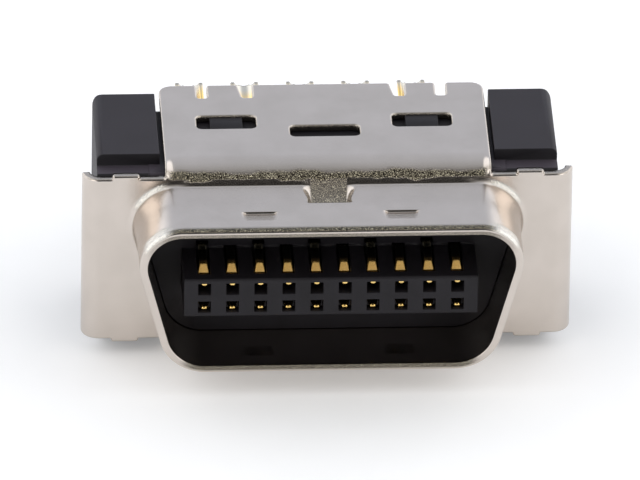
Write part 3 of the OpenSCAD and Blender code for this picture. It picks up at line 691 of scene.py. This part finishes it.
def contact_section(y, cup):
    """A contact's section at a depth: half width, thickness, edge and curl"""
    slope_y = TIP_Y + TIP_LEN
    half = TIP_W / 2 + (NOSE_W - TIP_W) / 2 * min(1, max(0, (y - TIP_Y) / TIP_LEN))
    half -= (NOSE_W - STRIP_W) / 2 * fade(y, slope_y, slope_y + SLOPE_LEN)
    thick = STRIP_T
    if y == TIP_Y:
        half, thick = half - STRIP_EDGE, STRIP_T - 2 * STRIP_EDGE
    edge = NOSE_EDGE if y < slope_y + SLOPE_LEN + NOSE_PAST else STRIP_EDGE
    curl = fade(y, cup - ROLL_LEN, cup) / CUP_R
    wall = CUP_WALL * min(1, max(0, (y - cup) / CUP_SLANT), max(CUP_LOW, (cup + CUP_LEN - y) / CUP_SLANT))
    rolled = CUP_R * math.acos(max(-1, 1 - min(wall, CUP_R) / CUP_R)) + max(0, wall - CUP_R)
    return max(half if y < cup + CUP_SLANT else 0, rolled), thick, edge, curl


def curled(a, height, curl):
    """Where a point of a rolled strip lies: a along its middle, at a height over it"""
    if curl < BARELY:
        return a, height
    turn = max(-QUARTER, min(QUARTER, a * curl))
    spare = abs(a) - abs(turn) / curl
    across = math.sin(turn) / curl - height * math.sin(turn)
    return across, (1 - math.cos(turn)) / curl + spare + height * math.cos(turn)


def contact_mesh(name, long, lower):
    """One contact: a strip tapered at its tip and rolled into a solder cup behind"""
    build = Build()
    rings = []
    cup = LONG_CUP if long else SHORT_CUP
    for y, z, heading in contact_path(cup, long):
        half, thick, edge, curl = contact_section(y, cup)
        flat, top = half - edge, thick / 2
        row = [flat * k / HALF_COLUMNS for k in range(-HALF_COLUMNS, HALF_COLUMNS + 1)]
        section = [(a, top) for a in row] + [(half, top - edge), (half, edge - top)]
        section += [(a, -top) for a in reversed(row)] + [(-half, edge - top), (-half, top - edge)]
        # Painted shade on the run inside the mouth
        shaded = fade(y, *SHADE_FRONT) * fade(y, *SHADE_REAR)
        ring = []
        for across, height in (curled(*p, curl) for p in section):
            place = Vector((across, y - height * math.sin(heading), z + height * math.cos(heading)))
            if lower:
                place.x, place.z = -place.x, -place.z
            ring.append(build.point(place, shaded, fade(y - cup, *TIN)))
        rings.append(ring)
    for first, second in zip(rings, rings[1:]):
        build.strip(first, second)
    count = 2 * HALF_COLUMNS + 1
    for ring in (rings[0], rings[-1]):
        above, below = ring[:count], ring[count + 2:2 * count + 2]
        build.strip(above, below[::-1], closed=False)
        build.faces.append((above[-1], *ring[count:count + 2], below[0]))
        build.faces.append((below[-1], *ring[2 * count + 2:], above[0]))
    return build.mesh(name)


def softened(node, width):
    """A copy of a CAD node's faces with its sharp edges rounded"""
    shape = bmesh.new()
    shape.from_mesh(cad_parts[node].data)
    bmesh.ops.remove_doubles(shape, verts=shape.verts, dist=WELD)
    sharp = [e for e in shape.edges if e.calc_face_angle(0) > SHARP]
    bmesh.ops.bevel(shape, geom=sharp, offset=width * MM, offset_type="OFFSET", segments=2, profile=0.5,
                    affect="EDGES", clamp_overlap=False)
    bmesh.ops.triangulate(shape, faces=shape.faces)
    for face in shape.faces:
        face.smooth = True
    mesh = bpy.data.meshes.new(node + "_soft")
    shape.to_mesh(mesh)
    shape.free()
    return mesh


def insulator_mesh():
    """The moulding, marked with a painted sheen on the ledges before the end blocks, and a little on the blocks
    """
    mesh = softened("insulator", MOULD_EDGE)
    painted_sheen = []
    for vertex in mesh.vertices:
        x, y, z = (abs(v) / MM for v in vertex.co)
        beside = x > PLATE_HALF + BLOCK_ROOM
        # Painted sheen: a little on the end blocks, fully on the ledges' tops before them
        if beside and y > BLOCK_FRONT + LEDGE_ROOM:
            painted_sheen.append(BLOCK_SHEEN)
        elif beside and y < BLOCK_FRONT - LEDGE_ROOM and z > LEDGE_Z - LEDGE_LOW:
            painted_sheen.append(LEDGE_SHEEN)
        else:
            painted_sheen.append(0.0)
    mark(mesh, "worked", painted_sheen)
    return mesh


def even_normals(piece):
    """Large faces keep their own direction in smooth shading"""
    weigh = piece.modifiers.new("even_normals", "WEIGHTED_NORMAL")
    weigh.weight = FACE_WEIGHT
    weigh.keep_sharp = False


def feed(tree, socket, value):
    """A socket fed by another node's output, or set to a plain value"""
    if isinstance(value, bpy.types.NodeSocket):
        tree.links.new(value, socket)
    else:
        socket.default_value = value


def reckoned(tree, operation, *values):
    """A value reckoned from others"""
    made = tree.nodes.new("ShaderNodeMath")
    made.operation = operation
    for socket, value in zip(made.inputs, values):
        feed(tree, socket, value)
    return made.outputs[0]


def scaled(tree, value, low, high, to_low=0.0, to_high=1.0, how="LINEAR"):
    """A value between low and high, carried over to between to_low and to_high"""
    made = tree.nodes.new("ShaderNodeMapRange")
    made.interpolation_type = how
    for name, given in (("Value", value), ("From Min", low), ("From Max", high), ("To Min", to_low),
                        ("To Max", to_high)):
        feed(tree, made.inputs[name], given)
    return made.outputs[0]


def mixed(tree, share, first, second, how="MIX"):
    """A colour between two others"""
    made = tree.nodes.new("ShaderNodeMix")
    made.data_type = "RGBA"
    made.blend_type = how
    for name, given in (("Factor", share), ("A", first), ("B", second)):
        feed(tree, made.inputs[name], given)
    return made.outputs["Result"]


def marked(tree, name):
    """A value that the mesh holds for each of its points"""
    made = tree.nodes.new("ShaderNodeAttribute")
    made.attribute_name = name
    return made.outputs["Fac"]


def noise(tree, size, detail, rough):
    """Cloudy noise in the part's own coordinates, its grain size in millimetres"""
    place = tree.nodes.new("ShaderNodeTexCoord")
    cloud = tree.nodes.new("ShaderNodeTexNoise")
    cloud.inputs["Scale"].default_value = 1 / (size * MM)
    cloud.inputs["Detail"].default_value = detail
    cloud.inputs["Roughness"].default_value = rough
    tree.links.new(place.outputs["Object"], cloud.inputs["Vector"])
    return cloud.outputs[0]


def new_group(name, inputs, outputs):
    """A shader node group with its named sockets: inputs (name, start value), outputs (kind, name)"""
    tree = bpy.data.node_groups.new(name, "ShaderNodeTree")
    for label, start in inputs:
        socket = tree.interface.new_socket(name=label, in_out="INPUT", socket_type="NodeSocketFloat")
        socket.default_value = start
    for kind, label in outputs:
        tree.interface.new_socket(name=label, in_out="OUTPUT", socket_type=kind)
    return tree, tree.nodes.new("NodeGroupInput").outputs, tree.nodes.new("NodeGroupOutput").inputs


def drift_group():
    """Slow change of tone over a surface: a value around 1"""
    tree, given, result = new_group("tone_drift", [("Amount", 0.1)], [("NodeSocketFloat", "Factor")])
    around = scaled(tree, noise(tree, *DRIFT_CLOUD), *CLOUD_SPAN, -1, 1)
    feed(tree, result["Factor"], reckoned(tree, "MULTIPLY_ADD", around, given["Amount"], 1))
    return tree


def grain_group():
    """Fine grain that tilts the surface, with a coarse part where the mesh is marked with peel and painted
    light
    """
    tree, given, result = new_group(
        "surface_grain", [("Fine", 0.1), ("Coarse", 0.0)],
        [("NodeSocketVector", "Normal"), ("NodeSocketFloat", "Grain"), ("NodeSocketFloat", "Speckle")])
    normal = None
    for name, kind, depth, out in (("Fine", FINE_CLOUD, FINE_TILT, "Grain"),
                                   ("Coarse", COARSE_CLOUD, COARSE_TILT, "Speckle")):
        cloud = noise(tree, *kind)
        tilt = tree.nodes.new("ShaderNodeBump")
        tilt.inputs["Distance"].default_value = depth * MM
        feed(tree, tilt.inputs["Strength"], given[name])
        feed(tree, tilt.inputs["Height"], cloud)
        if normal:
            feed(tree, tilt.inputs["Normal"], normal)
        normal = tilt.outputs[0]
        feed(tree, result[out], cloud)
    feed(tree, result["Normal"], normal)
    return tree


def use_group(tree, group, name, value):
    """A group placed in a material, with one of its inputs set"""
    made = tree.nodes.new("ShaderNodeGroup")
    made.node_tree = group
    made.inputs[name].default_value = value
    return made


def shader_of(material):
    """The inputs of a material's shader"""
    return material.node_tree.nodes["Principled BSDF"].inputs


def finish_material(name, dark, light, metallic, rough, drift, fine, coarse=0.0, peel=None, pale=None):
    """A material whose tone drifts between two colours and whose roughness follows its grain. Where its mesh is
    marked with peel and painted light it has a coarse peel of two more colours, which paint light and shade,
    and where its mesh is marked pale a tone of its own"""
    material = bpy.data.materials.new(name)
    material.use_nodes = True
    tree, shader = material.node_tree, shader_of(material)
    tone = use_group(tree, tone_drift, "Amount", drift)
    grain = use_group(tree, surface_grain, "Fine", fine)
    share = scaled(tree, tone.outputs["Factor"], 1 - drift, 1 + drift)
    colour = mixed(tree, share, (*dark, 1), (*light, 1))
    if peel:
        worked = marked(tree, "worked")
        feed(tree, grain.inputs["Coarse"], reckoned(tree, "MULTIPLY", worked, coarse))
        glint = tree.nodes.new("ShaderNodeValToRGB")
        for stop, place, tint in zip(glint.color_ramp.elements, PEEL_SPAN, peel):
            stop.position, stop.color = place, (*tint, 1)
        feed(tree, glint.inputs["Fac"], grain.outputs["Speckle"])
        colour = mixed(tree, worked, colour, glint.outputs["Color"])
    if pale:
        colour = mixed(tree, marked(tree, "pale"), colour, (*pale, 1))
    gloss = scaled(tree, grain.outputs["Grain"], *CLOUD_SPAN, rough * LEAST_ROUGH, rough * MOST_ROUGH)
    shader["Metallic"].default_value = metallic
    feed(tree, shader["Base Color"], colour)
    feed(tree, shader["Roughness"], gloss)
    feed(tree, shader["Normal"], grain.outputs["Normal"])
    return material


def look_from_photo():
    """The camera: far away with a long lens, a little above and left of the front"""
    elev, azim, roll = (math.radians(v) for v in (VIEW_ELEVATION, VIEW_AZIMUTH, VIEW_ROLL))
    ahead = Vector((math.sin(azim) * math.cos(elev), math.cos(azim) * math.cos(elev), -math.sin(elev)))
    level = Vector((math.cos(azim), -math.sin(azim), 0))
    rise = level.cross(ahead)
    right = math.cos(roll) * level + math.sin(roll) * rise
    up = math.cos(roll) * rise - math.sin(roll) * level
    camera = bpy.data.objects.new("camera", bpy.data.cameras.new("camera"))
    camera.data.sensor_width = SENSOR_W
    camera.data.lens = FOCAL_PIXELS * SENSOR_W / PICTURE_W
    camera.data.clip_start, camera.data.clip_end = CLIP
    place = (-VIEW_RIGHT * right - VIEW_UP * up - VIEW_DISTANCE * ahead) * MM
    camera.matrix_world = Matrix.Translation(place) @ Matrix((right, up, -ahead)).transposed().to_4x4()
    bpy.context.scene.collection.objects.link(camera)
    bpy.context.scene.camera = camera


def floor(material):
    """The pale sheet under the part, cut off a little in front of it"""
    low = cad_box[0][2] - FLOOR_GAP
    mesh = bpy.data.meshes.new("floor")
    mesh.from_pydata([(-FLOOR_HALF, FLOOR_FRONT, low), (FLOOR_HALF, FLOOR_FRONT, low),
                      (FLOOR_HALF, FLOOR_HALF, low), (-FLOOR_HALF, FLOOR_HALF, low)], [], [(0, 1, 2, 3)])
    piece = bpy.data.objects.new("floor", mesh)
    bpy.context.scene.collection.objects.link(piece)
    mesh.materials.append(material)


def lamp(name, place):
    """A soft box that faces the part"""
    data = bpy.data.lights.new(name, "AREA")
    data.energy = LAMP_POWER
    data.shape = "RECTANGLE"
    data.size = data.size_y = LAMP_SIZE
    made = bpy.data.objects.new(name, data)
    made.location = place
    made.rotation_euler = (-Vector(place)).to_track_quat("-Z", "Y").to_euler()
    bpy.context.scene.collection.objects.link(made)


def studio():
    """A soft room: grey behind and above, dark in front, bright at both sides"""
    world = bpy.data.worlds.new("studio")
    world.use_nodes = True
    tree = world.node_tree
    place = tree.nodes.new("ShaderNodeTexCoord")
    split = tree.nodes.new("ShaderNodeSeparateXYZ")
    feed(tree, split.inputs[0], place.outputs["Generated"])
    x, y, z = (split.outputs[axis] for axis in "XYZ")
    half_turns = reckoned(tree, "DIVIDE", reckoned(tree, "ARCTAN2", z, y), math.pi)
    ramp = tree.nodes.new("ShaderNodeValToRGB")
    feed(tree, ramp.inputs["Fac"], reckoned(tree, "ABSOLUTE", half_turns))
    stops = ramp.color_ramp.elements
    for stop, (degrees, shade) in zip(stops, (SKY[0], SKY[-1])):
        stop.position, stop.color = degrees / 180, (*shade, 1)
    for degrees, shade in SKY[1:-1]:
        stops.new(degrees / 180).color = (*shade, 1)
    glow = scaled(tree, reckoned(tree, "ABSOLUTE", x), *GLOW_SPAN, 0, GLOW, "SMOOTHSTEP")
    back = tree.nodes["Background"].inputs
    back["Strength"].default_value = 1
    feed(tree, back["Color"], mixed(tree, glow, ramp.outputs["Color"], (*GLOW_TINT, 1), "ADD"))
    bpy.context.scene.world = world
    bpy.context.scene.view_settings.view_transform = "Standard"


tone_drift, surface_grain = drift_group(), grain_group()
# The nickel's peel paints shade and bright glints on the drawn and folded metal; its pale tone is a painted
# highlight at the upper corners
nickel = finish_material(
    "satin_nickel", dark=(0.57, 0.515, 0.465), light=(0.62, 0.56, 0.51), metallic=1, rough=0.2, drift=0.08,
    fine=0.2, coarse=1.0, peel=((0.016, 0.013, 0.01), (0.84, 0.76, 0.56)), pale=(0.95, 0.92, 0.86))
# The plastic's peel colours paint a sheen on the ledges before the end blocks, and a little on the blocks
plastic = finish_material(
    "black_plastic", dark=(0.0068, 0.0056, 0.0076), light=(0.0105, 0.009, 0.0122), metallic=0, rough=0.55,
    drift=0.1, fine=0.6, coarse=0.02, peel=((0.054, 0.045, 0.057), (0.06, 0.051, 0.063)))
shader_of(plastic)["Specular IOR Level"].default_value = 0.29
# The gold's peel colours paint shade on the run inside the mouth; its pale tone is the cups' tin
gold = finish_material(
    "gold_plating", dark=(0.92, 0.6, 0.18), light=(1.0, 0.72, 0.28), metallic=1, rough=0.24, drift=0.1,
    fine=0.2, coarse=0.2, peel=((0.012, 0.011, 0.009), (0.06, 0.055, 0.035)), pale=(0.66, 0.62, 0.54))
paper = finish_material(
    "floor_paper", dark=(0.88, 0.88, 0.88), light=(0.9, 0.9, 0.9), metallic=0, rough=0.8, drift=0.05, fine=0.0)
# The paper is lit from below as well, like a light table
shader_of(paper)["Emission Color"].default_value = (1, 1, 1, 1)
shader_of(paper)["Emission Strength"].default_value = FLOOR_SHINE

shell = add_piece("shell_sheet", shell_mesh(), nickel, "shell_metal", "shell")
even_normals(shell)
body = add_piece("insulator_moulding", insulator_mesh(), plastic, "insulator_plastic", "insulator")
even_normals(body)
for row in ("upper", "lower"):
    strips = {long: contact_mesh(row + ("_long" if long else "_short"), long, row == "lower")
              for long in (True, False)}
    for i in range(1, COLUMNS + 1):
        name = "contact_%s_%02d" % (row, i)
        long = (i % 2 == 1) == (row == "upper")
        piece = add_piece(name + "_strip", strips[long], gold, "contact_gold", name)
        piece.location.x = (i - (COLUMNS + 1) / 2) * PITCH * MM

look_from_photo()
floor(paper)
studio()
lamp("left_box", (-LAMP_X, LAMP_Y, LAMP_Z))
lamp("right_box", (LAMP_X, LAMP_Y, LAMP_Z))
